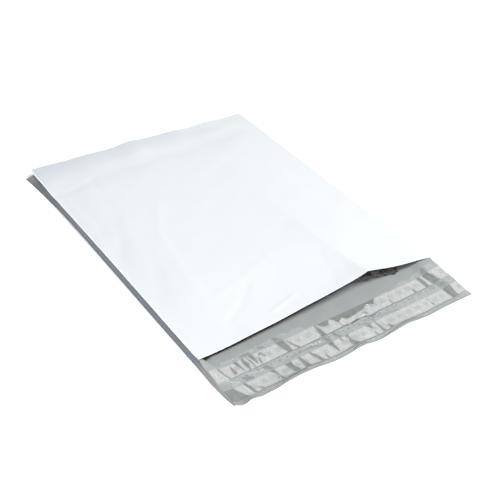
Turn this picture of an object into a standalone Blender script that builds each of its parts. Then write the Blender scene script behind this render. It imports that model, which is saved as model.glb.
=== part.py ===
"""A flat poly mailer bag, lying on its back panel with its mouth a little open.

One film is folded at the far edge and welded along both sides, so that it makes a pocket.
The back panel runs on past the mouth as a lip, which carries two strips of adhesive under
one clear release liner. A wad of clear cushion film lies just inside the mouth.

The sheet frame used below has x across the bag from its left side, and y along the bag
from the lip's free edge. The finished objects are centred on the floor, in metres, +Z up.
"""

import math

import bmesh
import bpy
from mathutils import Matrix, Vector

# Driving dimensions.
BAG_WIDTH = 0.3556
POCKET_LENGTH = 0.4318
LIP_LENGTH = 0.0774
FILM_THICKNESS = 0.0000635
STRIP_WIDTH = 0.019
STRIP_THICKNESS = 0.00015
LINER_THICKNESS = 0.00005
CLEARANCE = 0.0003

BAG_LENGTH = LIP_LENGTH + POCKET_LENGTH
LEFT_FLARE = 0.0069
PEAK_X = 0.246

# Where the strips and their liner lie on the lip, as lowest y.
OUTER_STRIP_START = 0.008
INNER_STRIP_START = 0.0402
STRIP_MARGIN = 0.009
LINER_START = 0.0045
LINER_END = 0.0605
LINER_MARGIN = 0.0075
LINER_RIPPLE = 0.0004
LINER_RIPPLE_PITCH = 0.023

# The wad in the mouth: its centre, half sizes, and how much of the gap it fills.
WAD_CENTRE = (0.259, 0.119)
WAD_HALF_SIZE = (0.050, 0.034)
WAD_TURN = -0.14
WAD_FILL = 0.72

# Each outline is a list of (place, value) stops.
LEFT_FLOOR_EDGE = ((0.0, -0.0010), (0.05, -0.0038), (0.18, -0.0022), (0.39, -0.0003),
                   (0.44, -0.0015), (BAG_LENGTH, -LEFT_FLARE))
LEFT_RIM_HEIGHT = ((0.0, 0.0026), (0.04, 0.0052), (LIP_LENGTH, 0.0088), (0.25, 0.0094),
                   (BAG_LENGTH, 0.0108))
RIGHT_RIM_HEIGHT = ((0.0, 0.0008), (0.07, 0.0064), (0.10, 0.0062), (0.25, 0.0042),
                    (0.48, 0.0036), (BAG_LENGTH, 0.0020))
MOUTH_HEIGHT = ((0.0, 0.0088), (0.04, 0.0090), (0.10, 0.0128), (0.15, 0.0178), (0.20, 0.0230),
                (0.234, 0.0283), (PEAK_X, 0.0314), (0.262, 0.0267), (0.285, 0.0206),
                (0.317, 0.0137), (BAG_WIDTH, 0.0070))
FAR_HEIGHT = ((0.0, 0.0108), (0.033, 0.0111), (0.12, 0.0079), (0.155, 0.0103), (0.20, 0.0069),
              (0.26, 0.0045), (BAG_WIDTH, 0.0020))
LIP_EDGE_HEIGHT = ((0.0, 0.0026), (0.033, 0.0009), (0.09, 0.0048), (0.143, 0.0003),
                   (0.175, 0.0026), (0.207, 0.0), (0.244, 0.0030), (0.285, 0.0),
                   (BAG_WIDTH, 0.0004))

RIM_INSET = 0.0005
RIGHT_WALL = 0.0012
MOUTH_RIDGE_REACH = 0.13
FAR_WAVE_REACH = 0.10
LIP_WAVE_REACH = 0.030
RIGHT_RISE_REACH = 0.030

ACROSS_LEFT_OF_PEAK = 15
ACROSS_RIGHT_OF_PEAK = 7
ALONG_POCKET = 20
ALONG_LIP = 14

COLLECTION = "poly_mailer_bag"


def read_outline(stops, place):
    """The value of an outline at a place, straight between neighbouring stops."""
    if place <= stops[0][0]:
        return stops[0][1]
    for (start, low), (end, high) in zip(stops, stops[1:]):
        if place <= end:
            part = (place - start) / (end - start)
            return low + (high - low) * part
    return stops[-1][1]


def ease(part):
    """0 to 1 with a level start and end."""
    part = min(max(part, 0.0), 1.0)
    return part * part * (3.0 - 2.0 * part)


def right_rise(x, y):
    """How far the back panel lifts off the floor towards the right-hand weld."""
    near_edge = (x - (BAG_WIDTH - RIGHT_RISE_REACH)) / RIGHT_RISE_REACH
    low = max(read_outline(RIGHT_RIM_HEIGHT, y) - RIGHT_WALL, 0.0)
    return low * max(near_edge, 0.0) ** 2


def back_height(x, y):
    """Underside of the back panel and lip: flat on the floor, with a wavy free edge."""
    wave = read_outline(LIP_EDGE_HEIGHT, x) * (1.0 - ease(y / LIP_WAVE_REACH))
    return max(wave, right_rise(x, y))


def front_height(x, y):
    """Outside of the front panel, between its four edges."""
    across = x / BAG_WIDTH
    level = (1.0 - across) * read_outline(LEFT_RIM_HEIGHT, y)
    level += across * read_outline(RIGHT_RIM_HEIGHT, y)
    mouth_level = (1.0 - across) * LEFT_RIM_HEIGHT[2][1] + across * MOUTH_HEIGHT[-1][1]
    far_level = (1.0 - across) * FAR_HEIGHT[0][1] + across * FAR_HEIGHT[-1][1]
    mouth_ridge = read_outline(MOUTH_HEIGHT, x) - mouth_level
    far_wave = read_outline(FAR_HEIGHT, x) - far_level
    from_mouth = (y - LIP_LENGTH) / MOUTH_RIDGE_REACH
    from_far = (BAG_LENGTH - y) / FAR_WAVE_REACH
    return level + mouth_ridge * math.exp(-from_mouth) + far_wave * (1.0 - ease(from_far))


def stations():
    """The y of each cross-section, close together on the lip and behind the mouth."""
    lip = [LIP_LENGTH * i / ALONG_LIP for i in range(ALONG_LIP)]
    pocket = [LIP_LENGTH + POCKET_LENGTH * (i / ALONG_POCKET) ** 1.25 for i in range(ALONG_POCKET + 1)]
    return lip, pocket


def columns(left):
    """The x of each lengthwise line of points, with one of them under the mouth's peak."""
    to_peak = [left + (PEAK_X - left) * i / ACROSS_LEFT_OF_PEAK for i in range(ACROSS_LEFT_OF_PEAK)]
    width = BAG_WIDTH - PEAK_X
    return to_peak + [PEAK_X + width * i / ACROSS_RIGHT_OF_PEAK for i in range(ACROSS_RIGHT_OF_PEAK + 1)]


def back_row(y):
    """Points of the back panel at y, from its left floor edge to the right-hand weld."""
    return [(x, y, back_height(x, y)) for x in columns(read_outline(LEFT_FLOOR_EDGE, y))]


def back_surface(x, y):
    """Underside of the back panel as built, straight between its lengthwise lines."""
    row = back_row(y)
    return read_outline([(px, pz) for px, _, pz in row], x)


def front_row(y):
    """Points of the front panel at y, from the left rim to the right-hand weld."""
    return [(x, y, front_height(x, y)) for x in columns(RIM_INSET)]


def left_rim(y):
    return (RIM_INSET, y, read_outline(LEFT_RIM_HEIGHT, y))


def new_object(name, mesh_builder, colour, roughness, transmission=0.0):
    """A named object from a filled bmesh, with its own Principled material."""
    mesh = bpy.data.meshes.new(name)
    mesh_builder.to_mesh(mesh)
    mesh_builder.free()
    material = bpy.data.materials.new(name)
    material.use_nodes = True
    shader = material.node_tree.nodes["Principled BSDF"]
    shader.inputs["Base Color"].default_value = (*colour, 1.0)
    shader.inputs["Roughness"].default_value = roughness
    shader.inputs["Metallic"].default_value = 0.0
    shader.inputs["Transmission Weight"].default_value = transmission
    mesh.materials.append(material)
    made = bpy.data.objects.new(name, mesh)
    bpy.data.collections[COLLECTION].objects.link(made)
    return made


def solidify(made, thickness, offset):
    shell = made.modifiers.new("thickness", "SOLIDIFY")
    shell.thickness = thickness
    shell.offset = offset
    shell.use_even_offset = True


def bridge(mesh, first, second):
    """Quads between two rows of the same length."""
    for i in range(len(first) - 1):
        mesh.faces.new((first[i], first[i + 1], second[i + 1], second[i]))


def make_film():
    """The folded and side-welded film: front panel, back panel with its lip, and the side walls."""
    mesh = bmesh.new()
    lip, pocket = stations()
    back = [[mesh.verts.new(p) for p in back_row(y)] for y in lip + pocket]
    rim = [mesh.verts.new(left_rim(y)) for y in lip]
    front = [[mesh.verts.new(p) for p in front_row(y)] for y in pocket]
    rim += [row[0] for row in front]
    for near, far in zip(back, back[1:]):
        bridge(mesh, far, near)
    for near, far in zip(front, front[1:]):
        bridge(mesh, near, far)
    bridge(mesh, rim, [row[0] for row in back])
    bridge(mesh, [row[-1] for row in back[len(lip):]], [row[-1] for row in front])
    bridge(mesh, front[-1], back[-1])
    film = new_object("mailer_film", mesh, (0.90, 0.91, 0.92), 0.35)
    solidify(film, FILM_THICKNESS, -1.0)
    return film


def make_sheet(name, x_range, y_range, height, counts, thickness, colour, roughness, transmission=0.0):
    """A thin sheet over the lip, whose underside is at height(x, y)."""
    mesh = bmesh.new()
    rows = []
    for j in range(counts[1] + 1):
        y = y_range[0] + (y_range[1] - y_range[0]) * j / counts[1]
        places = [x_range[0] + (x_range[1] - x_range[0]) * i / counts[0] for i in range(counts[0] + 1)]
        rows.append([mesh.verts.new((x, y, height(x, y))) for x in places])
    for near, far in zip(rows, rows[1:]):
        bridge(mesh, near, far)
    sheet = new_object(name, mesh, colour, roughness, transmission)
    solidify(sheet, thickness, 1.0)
    return sheet


def strip_height(x, y):
    return back_surface(x, y) + FILM_THICKNESS + CLEARANCE


def liner_height(x, y):
    ripple = LINER_RIPPLE * (1.0 + math.sin(2.0 * math.pi * x / LINER_RIPPLE_PITCH))
    return strip_height(x, y) + STRIP_THICKNESS + CLEARANCE + ripple


def make_strip(name, start):
    span = (STRIP_MARGIN, BAG_WIDTH - STRIP_MARGIN)
    return make_sheet(name, span, (start, start + STRIP_WIDTH), strip_height, (44, 2),
                      STRIP_THICKNESS, (0.62, 0.62, 0.58), 0.30)


def make_liner():
    span = (LINER_MARGIN, BAG_WIDTH - LINER_MARGIN)
    return make_sheet("release_liner", span, (LINER_START, LINER_END), liner_height, (90, 5),
                      LINER_THICKNESS, (0.78, 0.80, 0.80), 0.15, 0.6)


def make_wad():
    """A flattened cushion of crumpled clear film that holds the mouth open."""
    mesh = bmesh.new()
    bmesh.ops.create_uvsphere(mesh, u_segments=28, v_segments=10, radius=1.0)
    floor = FILM_THICKNESS + CLEARANCE
    turn = Matrix.Rotation(WAD_TURN, 2)
    for vert in mesh.verts:
        flat = Vector((WAD_HALF_SIZE[0] * vert.co.x, WAD_HALF_SIZE[1] * vert.co.y))
        x, y = Vector(WAD_CENTRE) + turn @ flat
        room = WAD_FILL * (front_height(x, y) - floor)
        vert.co = (x, y, floor + room * 0.5 * (1.0 + vert.co.z))
    return new_object("cushion_film_wad", mesh, (0.55, 0.54, 0.52), 0.12, 0.7)


def centre_on_floor(objects):
    """Moves the meshes from the sheet frame to one centred over the floor."""
    for made in objects:
        for vert in made.data.vertices:
            vert.co.x -= (BAG_WIDTH - LEFT_FLARE) / 2.0
            vert.co.y -= BAG_LENGTH / 2.0


def main():
    for old in list(bpy.data.objects):
        bpy.data.objects.remove(old, do_unlink=True)
    bpy.context.scene.collection.children.link(bpy.data.collections.new(COLLECTION))
    made = [make_film()]
    made.append(make_strip("adhesive_strip_outer", OUTER_STRIP_START))
    made.append(make_strip("adhesive_strip_inner", INNER_STRIP_START))
    made.append(make_liner())
    made.append(make_wad())
    centre_on_floor(made)


main()
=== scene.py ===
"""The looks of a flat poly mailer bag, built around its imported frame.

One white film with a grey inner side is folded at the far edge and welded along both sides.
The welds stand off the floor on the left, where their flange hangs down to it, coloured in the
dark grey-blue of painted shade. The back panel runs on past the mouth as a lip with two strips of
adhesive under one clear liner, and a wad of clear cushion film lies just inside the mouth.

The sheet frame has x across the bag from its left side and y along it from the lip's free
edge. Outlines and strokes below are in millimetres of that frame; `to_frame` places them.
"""

import math

import bmesh
import bpy
import numpy as np
from bpy.props import FloatProperty, FloatVectorProperty, IntProperty, PointerProperty
from bpy.types import Operator, Panel, PropertyGroup
from mathutils import Matrix, Vector


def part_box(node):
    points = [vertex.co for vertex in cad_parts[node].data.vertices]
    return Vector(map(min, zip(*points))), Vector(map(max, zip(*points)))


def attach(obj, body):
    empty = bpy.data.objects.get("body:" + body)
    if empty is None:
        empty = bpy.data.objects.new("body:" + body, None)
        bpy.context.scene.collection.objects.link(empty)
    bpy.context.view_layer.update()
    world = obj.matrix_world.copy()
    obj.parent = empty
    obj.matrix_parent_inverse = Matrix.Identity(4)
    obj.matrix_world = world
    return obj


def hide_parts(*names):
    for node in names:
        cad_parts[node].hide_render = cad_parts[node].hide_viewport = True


bl_info = {
    "name": "Poly Mailer Bag",
    "version": (1, 0, 0),
    "blender": (4, 5, 0),
    "location": "3D View > Sidebar > Mailer Bag",
    "description": "Builds the film, adhesive strips, release liner and cushion film of a poly mailer bag",
    "category": "Object",
}

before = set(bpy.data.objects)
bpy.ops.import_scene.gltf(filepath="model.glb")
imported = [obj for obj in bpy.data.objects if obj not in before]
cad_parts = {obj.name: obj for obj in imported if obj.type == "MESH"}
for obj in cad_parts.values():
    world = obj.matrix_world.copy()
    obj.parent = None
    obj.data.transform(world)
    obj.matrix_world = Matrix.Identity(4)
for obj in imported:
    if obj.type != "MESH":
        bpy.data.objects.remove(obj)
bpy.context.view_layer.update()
MM = 0.001

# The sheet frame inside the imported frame.
LEFT_FLARE = 6.9
FILM_LOW, FILM_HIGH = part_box("mailer_film")
SHEET_ORIGIN = (FILM_LOW.x + LEFT_FLARE * MM, FILM_LOW.y, FILM_LOW.z)
BAG_WIDTH = (FILM_HIGH.x - FILM_LOW.x) / MM - LEFT_FLARE
BAG_LENGTH = (FILM_HIGH.y - FILM_LOW.y) / MM
OUTER_STRIP = (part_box("adhesive_strip_outer")[0].y - FILM_LOW.y) / MM
INNER_STRIP = (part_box("adhesive_strip_inner")[0].y - FILM_LOW.y) / MM
STRIP_WIDTH = 19.0
LIP_LENGTH = 77.4
PEAK_X = 246.0

# Outlines, as (place, value) stops in millimetres.
RIM_X = ((0, -0.5), (10, -1.0), (22, -1.6), (35, -1.4), (47, -1.0), (57, -0.8), (66, -0.6), (77, 0.3),
         (86, -0.6), (140, -0.4), (208, 0.3), (300, 1.0), (360, 0.9), (425, 1.0), (437, 0.3), (460, 1.2),
         (509.2, 1.6))
RIM_HEIGHT = ((0, 0.9), (10, 1.2), (22, 1.8), (35, 2.8), (47, 4.0), (57, 5.4), (66, 6.2), (77.4, 8.6),
              (250, 9.4), (509.2, 10.8))
FLANGE_FOOT_X = ((0, 0.3), (7, -0.9), (14, -2.0), (27, -3.2), (41, -4.0), (55, -3.9), (69, -3.4), (113, -2.6),
                 (176, -2.1), (243, -1.2), (316, -0.4), (354, 0.2), (395, -0.1), (415, -0.4), (438, -1.5),
                 (460, -2.8), (483, -4.6), (509.2, -6.9))
MOUTH_LEFT = ((0, 8.8), (8, 8.5), (32, 8.6), (49, 9.2), (82, 11.6), (116, 14.2), (151, 17.9), (188, 21.7),
              (206, 23.8), (225, 26.3), (236, 28.6), (PEAK_X, 31.2))
MOUTH_RIGHT = ((PEAK_X, 31.2), (253, 29.3), (264, 26.3), (274, 23.2), (296, 18.0), (317, 13.7),
               (339, 9.8), (350, 7.8), (355.6, 7.0))
FAR_HEIGHT = ((0, 10.8), (10, 11.6), (33, 11.1), (58, 9.8), (83, 9.7), (109, 8.7), (122, 7.9), (135, 8.4),
              (148, 9.9), (162, 10.4), (176, 8.3), (203, 6.8), (231, 5.9), (260, 3.2), (289, 4.0),
              (319, 2.2), (355.6, 2.0))
RIGHT_HEIGHT = ((0, 0.8), (10, 2.2), (28, 4.0), (46, 4.8), (64, 6.2), (80, 6.9), (100, 6.0), (164, 5.3),
                (250, 4.1), (480, 3.6), (509.2, 2.0))
LIP_WAVE = ((0, 0.6), (10, 0.0), (18, 1.6), (33, 0.3), (45, 0.6), (60, 2.4), (78, 4.2), (93, 4.6), (110, 3.4),
            (126, 1.2), (142, 0.0), (160, 0.6), (172, 2.6), (182, 2.3), (196, 0.2), (207, 0.0), (222, 1.6),
            (236, 2.8), (248, 3.0), (262, 1.6), (280, 0.0), (320, 0.4), (355.6, 0.2))
LIP_EDGE = ((0, 0.6), (6, 1.4), (11, 2.4), (17, 4.3), (24, 3.7), (34, 2.5), (46, 2.5), (52, 1.8), (64, 2.8),
            (92, 2.6), (113, 2.1), (136, 1.1), (160, 2.0), (182, 1.6), (196, 0.4), (212, 0.0), (235, 1.1),
            (248, 1.8), (262, 1.3), (286, 0.8), (296, 1.6), (320, 1.5), (338, 1.2), (347, 0.5), (355.6, 0.0))
RIGHT_EDGE = ((0, 1.5), (4, 0.6), (10, 0.0), (17, -0.3), (24, -0.5), (36, 0.5), (43, 0.0), (70, 0.1), (77, 0.7),
              (86, 0.0), (509.2, 0.0))
LIP_CORNER = ((0, 5.5), (3, 3.2), (6, 1.4), (10, 0.0), (355.6, 0.0))

LIP_WAVE_REACH = 26.0
LIP_CORNER_REACH = 18.0
LIP_EDGE_REACH = 12.0
FLANGE_END = 496.0
FLANGE_SWEEP = 11.0
FACET_REACH = ((0, 19.0), (20, 17.5), (40, 19.0), (64, 19.0), (80, 9.0), (110, 18.0), (509.2, 24.0))
FACET_PROFILE = ((0.0, 1.0), (0.62, 0.62), (0.94, 0.06), (1.0, 0.0))
RIGHT_STEP = ((0, 333.0), (60, 326.0), (80, 326.0), (509.2, 330.0))
RIGHT_PROFILE = ((0.0, 0.0), (0.30, 0.62), (0.45, 0.78), (1.0, 1.0))
MOUTH_RIDGE_REACH = 120.0
FAR_WAVE_REACH = 95.0
FAR_BULGE = 1.1
FRONT_GAP = 0.12
PILLOW_HEIGHT = 4.0

# Soft folds of the front panel: height, half width and the places that each runs through.
PANEL_FOLDS = (
    (-0.7, 5.0, ((2, 437), (26, 433), (62, 442))),
    (0.5, 6.0, ((6, 300), (14, 350), (12, 410))),
    (-0.6, 8.0, ((10, 268), (34, 310), (52, 372), (60, 430))),
    (-0.5, 9.0, ((22, 196), (42, 236), (56, 300))),
    (0.5, 7.0, ((58, 150), (64, 210), (78, 290), (112, 350))),
    (-0.5, 5.0, ((66, 112), (90, 124), (118, 150))),
    (0.45, 5.0, ((72, 152), (124, 164), (180, 184))),
    (0.6, 3.0, ((116, 95), (136, 99), (152, 103))),
    (-0.2, 6.0, ((206, 82), (214, 116), (228, 150))),
    (0.2, 5.0, ((216, 82), (226, 112), (232, 142))),
    (-0.2, 5.0, ((262, 82), (262, 106), (254, 128))),
    (-0.5, 12.0, ((66, 446), (150, 449), (240, 447), (322, 462))),
    (0.4, 9.0, ((120, 478), (190, 470), (300, 476))),
)

# Painted shade on the front panel along its far edge, widest at the far-left corner: (x, y, width) along each stroke.
PANEL_SHADE = (
    (0.55, 40.0, ((0, 505, 60), (100, 505, 30), (230, 505, 10))),
)


def outline(stops, places):
    """The values of an outline at the places, straight between neighbouring stops."""
    stop_places, values = zip(*stops)
    return np.interp(places, stop_places, values)


def smooth_outline(stops, places):
    """The values of an outline on a smooth curve through its stops."""
    at, value = (np.array(column, float) for column in zip(*stops))
    run = np.diff(at)
    rise = np.diff(value) / run
    slope = np.empty_like(value)
    slope[1:-1] = (rise[:-1] * run[1:] + rise[1:] * run[:-1]) / (run[1:] + run[:-1])
    slope[0], slope[-1] = rise[0], rise[-1]
    places = np.clip(places, at[0], at[-1])
    k = np.clip(np.searchsorted(at, places, side="right") - 1, 0, len(run) - 1)
    t = (places - at[k]) / run[k]
    start = (1 + 2 * t) * (1 - t) ** 2 * value[k] + t * (1 - t) ** 2 * run[k] * slope[k]
    return start + t * t * (3 - 2 * t) * value[k + 1] - t * t * (1 - t) * run[k] * slope[k + 1]


def ease(part):
    """0 to 1 with a level start and end."""
    part = np.clip(part, 0.0, 1.0)
    return part * part * (3.0 - 2.0 * part)


def to_line(x, y, path):
    """The distance of each place from a path, and the path's own third value there if it has one."""
    best = np.full(np.shape(x), 1e9)
    carried = np.zeros(np.shape(x))
    stops = path if len(path) > 1 else path * 2
    for start, end in zip(stops, stops[1:]):
        run_x, run_y = end[0] - start[0], end[1] - start[1]
        length = max(run_x * run_x + run_y * run_y, 1e-9)
        part = np.clip(((x - start[0]) * run_x + (y - start[1]) * run_y) / length, 0.0, 1.0)
        away = np.hypot(x - start[0] - part * run_x, y - start[1] - part * run_y)
        nearer = away < best
        best = np.where(nearer, away, best)
        if len(start) > 2:
            carried = np.where(nearer, start[2] + part * (end[2] - start[2]), carried)
    return best, carried


def stroke_mask(x, y, strokes, blur):
    """1 inside any stroke of (x, y, width) stops, 0 outside, with soft sides."""
    mask = np.zeros(np.shape(x))
    for stroke in strokes:
        away, width = to_line(x, y, stroke)
        mask = np.maximum(mask, np.clip((0.5 * width - away) / blur + 0.5, 0.0, 1.0))
    return mask


def soft_noise(x, y, pitch, seed, stretch=1.0):
    """Smooth waves in random directions, about -1 to 1, with the given pitch in millimetres."""
    draw = np.random.default_rng(seed)
    total = np.zeros(np.shape(x))
    for turn, phase, scale in draw.uniform(0.0, 1.0, (9, 3)):
        size = 2.0 * math.pi / (pitch * (0.6 + 0.9 * scale))
        along = x * math.cos(math.pi * turn) * size + y * math.sin(math.pi * turn) * size / stretch
        total += np.sin(along + 2.0 * math.pi * phase)
    return total / 4.5


def ridged_noise(x, y, pitch, seed, stretch=1.0):
    """Sharp-crested creases, 0 to 1."""
    return np.clip(1.0 - np.abs(soft_noise(x, y, pitch, seed, stretch)) * 1.6, 0.0, 1.0)


def to_frame(points):
    """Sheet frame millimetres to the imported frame's metres."""
    return points * MM + np.array(SHEET_ORIGIN)


# ---------------------------------------------------------------- surfaces


def left_facet(x, y):
    """The back panel's rise from the floor to the left rim."""
    rim = outline(RIM_X, y)
    part = (x - rim) / outline(FACET_REACH, y)
    return outline(RIM_HEIGHT, y) * outline(FACET_PROFILE, part)


def right_facet(x, y):
    """The back panel's rise to the right-hand weld."""
    step = outline(RIGHT_STEP, y)
    return outline(RIGHT_HEIGHT, y) * outline(RIGHT_PROFILE, (x - step) / (BAG_WIDTH - step))


def back_height(x, y):
    """Underside of the back panel and its lip."""
    wave = smooth_outline(LIP_WAVE, x)
    wave = wave * (1.0 - ease(y / LIP_WAVE_REACH)) + smooth_outline(LIP_EDGE, x) * (1.0 - ease(y / LIP_EDGE_REACH))
    wave = np.maximum(wave, 0.0)
    wander = 0.12 * (1.0 + soft_noise(x, y, 26.0, 4)) * ease(y / 20.0)
    return wave + np.maximum(left_facet(x, y), right_facet(x, y)) + wander


def front_height(x, y):
    """Outside of the front panel between its rim, mouth, far fold and right-hand weld."""
    across = x / BAG_WIDTH
    level = (1.0 - across) * outline(RIM_HEIGHT, y) + across * outline(RIGHT_HEIGHT, y)
    mouth = np.where(x < PEAK_X, smooth_outline(MOUTH_LEFT, x), smooth_outline(MOUTH_RIGHT, x))
    mouth_level = (1.0 - across) * MOUTH_LEFT[0][1] + across * MOUTH_RIGHT[-1][1]
    far = smooth_outline(FAR_HEIGHT, x)
    far_level = (1.0 - across) * FAR_HEIGHT[0][1] + across * FAR_HEIGHT[-1][1]
    behind = np.maximum(y - LIP_LENGTH, 0.0)
    fade = np.exp(-behind / MOUTH_RIDGE_REACH)
    height = level + (mouth - mouth_level) * fade
    height += (far - far_level) * (1.0 - ease((BAG_LENGTH - y) / FAR_WAVE_REACH))
    side = ease(across / 0.16) * ease((1.0 - across) / 0.20)
    length = ease(behind / 120.0) * ease((BAG_LENGTH - y) / 100.0)
    height += PILLOW_HEIGHT * side * length
    edges = ease(x / 7.0) * ease((BAG_WIDTH - x) / 10.0) * ease((BAG_LENGTH - y) / 12.0)
    height += 0.22 * edges * soft_noise(x, y, 46.0, 11)
    for rise, half_width, path in PANEL_FOLDS:
        away, _ = to_line(x, y, path)
        height += rise * np.exp(-(away / half_width) ** 2) * ease(x / 4.0)
    return height


# ---------------------------------------------------------------- mesh helpers


def plain_copy(source, name):
    """A new object with the evaluated mesh of another, which is then removed."""
    graph = bpy.context.evaluated_depsgraph_get()
    mesh = bpy.data.meshes.new_from_object(source.evaluated_get(graph))
    old = source.data
    bpy.data.objects.remove(source)
    bpy.data.meshes.remove(old)
    mesh.name = name
    made = bpy.data.objects.new(name, mesh)
    bpy.context.scene.collection.objects.link(made)
    return made


def new_object(name, points, faces, materials=(), indices=None):
    """A mesh object from sheet-frame points in millimetres."""
    mesh = bpy.data.meshes.new(name)
    mesh.from_pydata(to_frame(points).tolist(), [], faces)
    for material in materials:
        mesh.materials.append(material)
    if indices is not None:
        mesh.polygons.foreach_set("material_index", indices)
    made = bpy.data.objects.new(name, mesh)
    bpy.context.scene.collection.objects.link(made)
    return made


def grid_faces(rows, columns, start=0):
    """Quads of a grid of points that is stored row by row."""
    corner = (np.arange(rows - 1)[:, None] * columns + np.arange(columns - 1)).ravel() + start
    return np.stack([corner, corner + 1, corner + columns + 1, corner + columns], 1)


def thicken(made, thickness, offset, inner_material=0):
    """Gives an open sheet its thickness and hands back a plain, smooth-shaded copy."""
    shell = made.modifiers.new("thickness", "SOLIDIFY")
    shell.thickness = thickness
    shell.offset = offset
    shell.material_offset = inner_material
    shell.material_offset_rim = 0
    shell.use_quality_normals = True
    made = plain_copy(made, made.name)
    made.data.shade_smooth()
    made.data.set_sharp_from_angle(angle=math.radians(50.0))
    return made


def paint(made, name, values):
    """Stores one number for each point, for the materials to read."""
    layer = made.data.attributes.new(name, "FLOAT", "POINT")
    layer.data.foreach_set("value", np.asarray(values, np.float32))


def paint_colour(made, name, colours):
    """Stores one colour for each point."""
    layer = made.data.attributes.new(name, "FLOAT_COLOR", "POINT")
    layer.data.foreach_set("color", np.hstack([colours, np.ones((len(colours), 1))]).astype(np.float32).ravel())


def sheet_places(made):
    """The x and y of each point in the sheet frame, in millimetres."""
    places = np.empty(len(made.data.vertices) * 3)
    made.data.vertices.foreach_get("co", places)
    places = (places.reshape(-1, 3) - np.array(SHEET_ORIGIN)) / MM
    return places[:, 0], places[:, 1], places[:, 2]


# ---------------------------------------------------------------- materials


class Surface:
    """A new material with short ways to add the nodes that its finish needs."""

    def __init__(self, name, roughness):
        self.material = bpy.data.materials.new(name)
        self.material.use_nodes = True
        self.nodes = self.material.node_tree.nodes
        self.links = self.material.node_tree.links
        self.shader = self.nodes["Principled BSDF"]
        self.set("Roughness", roughness)

    def set(self, socket, value):
        self.shader.inputs[socket].default_value = value

    def link(self, source, socket):
        self.links.new(source, self.shader.inputs[socket])

    def attribute(self, name):
        node = self.nodes.new("ShaderNodeAttribute")
        node.attribute_name = name
        return node.outputs["Fac"]

    def noise(self, scale, detail=3.0, stretch=(1.0, 1.0, 1.0)):
        place = self.nodes.new("ShaderNodeTexCoord")
        mapping = self.nodes.new("ShaderNodeMapping")
        mapping.inputs["Scale"].default_value = stretch
        texture = self.nodes.new("ShaderNodeTexNoise")
        texture.inputs["Scale"].default_value = scale
        texture.inputs["Detail"].default_value = detail
        self.links.new(place.outputs["Object"], mapping.inputs["Vector"])
        self.links.new(mapping.outputs["Vector"], texture.inputs["Vector"])
        return texture.outputs["Fac"]

    def between(self, factor, low, high):
        """A number that runs from low to high with the factor."""
        node = self.nodes.new("ShaderNodeMapRange")
        node.inputs["To Min"].default_value = low
        node.inputs["To Max"].default_value = high
        self.links.new(factor, node.inputs["Value"])
        return node.outputs["Result"]

    def mix(self, factor, low, high, blend="MIX"):
        """A colour from low to high; either may be a colour or a socket."""
        node = self.nodes.new("ShaderNodeMix")
        node.data_type = "RGBA"
        node.blend_type = blend
        if isinstance(factor, float):
            node.inputs["Factor"].default_value = factor
        else:
            self.links.new(factor, node.inputs["Factor"])
        for socket, value in (("A", low), ("B", high)):
            target = next(i for i in node.inputs if i.name == socket and i.type == "RGBA")
            if isinstance(value, bpy.types.NodeSocket):
                self.links.new(value, target)
            else:
                target.default_value = (*value, 1.0)
        return next(o for o in node.outputs if o.type == "RGBA")

    def bump(self, height, distance, strength=1.0):
        node = self.nodes.new("ShaderNodeBump")
        node.inputs["Distance"].default_value = distance
        node.inputs["Strength"].default_value = strength
        self.links.new(height, node.inputs["Height"])
        self.link(node.outputs["Normal"], "Normal")


def shaded(colour, share):
    """A colour made darker by a share."""
    return tuple(channel * share for channel in colour)


def outer_film_material(colour, roughness):
    made = Surface("white_film", roughness)
    fine = made.mix(made.noise(140.0, 4.0, (1.0, 0.35, 1.0)), shaded(colour, 0.985), shaded(colour, 1.01))
    # Painted shade: the white film darkened where the shade attribute says the panel lies in shade.
    shaded_white = (colour[0] * 0.70, colour[1] * 0.735, colour[2] * 0.775)
    made.link(made.mix(made.attribute("shade"), fine, shaded_white), "Base Color")
    made.link(made.between(made.noise(60.0), roughness - 0.05, roughness + 0.06), "Roughness")
    made.bump(made.noise(900.0, 2.0), 0.00002, 0.5)
    return made.material


def inner_film_material(colour, shade_fringe, dark):
    made = Surface("grey_film", 0.42)
    streaks = made.noise(120.0, 4.0, (1.0, 0.25, 1.0))
    plain = made.mix(streaks, shaded(colour, 0.93), shaded(colour, 1.07))
    # Random tone of the grey film, with the painted highlight of the lip's left facet.
    toned = made.mix(made.attribute("tone"), shaded(colour, 0.72), shaded(colour, 1.38))
    body = made.mix(0.5, plain, toned)
    # Painted shade of the pocket: a brown fringe, then near black, where the front panel hides the lower film.
    warm = made.mix(made.attribute("shade_fringe"), body, shade_fringe)
    shown = made.mix(made.attribute("depth"), warm, dark)
    made.link(shown, "Base Color")
    made.link(shown, "Emission Color")
    made.link(made.attribute("through"), "Emission Strength")
    made.bump(made.noise(700.0, 2.0), 0.00003, 0.6)
    return made.material


def flange_material():
    # The flange's base colour is painted shade, read from the flange attribute.
    made = Surface("weld_flange_painted_shade", 0.38)
    colour = made.nodes.new("ShaderNodeAttribute")
    colour.attribute_name = "flange"
    streaks = made.mix(made.noise(90.0, 4.0, (1.0, 0.12, 1.0)), (0.85, 0.85, 0.85), (1.0, 1.0, 1.0))
    made.link(made.mix(1.0, streaks, colour.outputs["Color"], "MULTIPLY"), "Base Color")
    made.bump(made.noise(300.0, 3.0, (1.0, 0.2, 1.0)), 0.00008, 0.5)
    return made.material


# Painted highlight: a near-white film for the rim and the mouth's edge.
def edge_highlight_material(colour):
    made = Surface("film_edge_highlight", 0.25)
    made.link(made.mix(made.noise(240.0), shaded(colour, 0.97), colour), "Base Color")
    return made.material


# ---------------------------------------------------------------- film

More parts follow.
